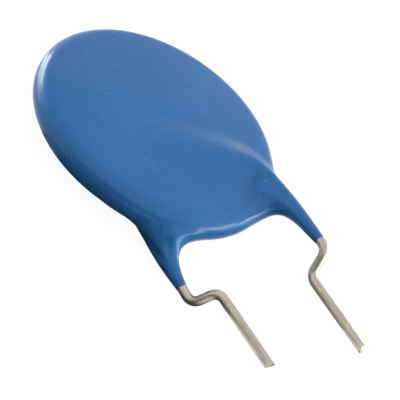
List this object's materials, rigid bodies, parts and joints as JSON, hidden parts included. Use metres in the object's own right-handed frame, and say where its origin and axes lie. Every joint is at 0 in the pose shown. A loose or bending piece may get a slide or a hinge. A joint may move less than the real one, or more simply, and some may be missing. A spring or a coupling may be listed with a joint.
{
  "type": "ceramic disc capacitor",
  "caption": "Radial ceramic disc capacitor: epoxy-dipped disc with two coated legs and kinked tinned wire leads.",
  "frame": {"origin": "middle of the footprint, on the surface the part lies on: the centre of the bottom of its bounding box", "axes": "+Z is the axis of the disc, the pins run towards -Y, and +X is the side where the front (upper) lead leaves the disc"},
  "size_m": [0.0218, 0.0354, 0.0054],
  "materials": {
    "epoxy": "smooth semi-gloss dipped epoxy",
    "tinned_wire": "satin hot-tinned copper wire",
    "ceramic": "matt fired ceramic, hidden in the coating",
    "silver": "matt fired silver film, hidden in the coating",
    "solder": "satin solder, hidden in the coating"
  },
  "bodies": {
    "root": {"ceramic_disc": "ceramic", "front_electrode": "silver", "rear_electrode": "silver", "front_lead": "tinned_wire", "rear_lead": "tinned_wire", "front_solder": "solder", "rear_solder": "solder", "epoxy_coating": "epoxy"}
  },
  "joints": []
}
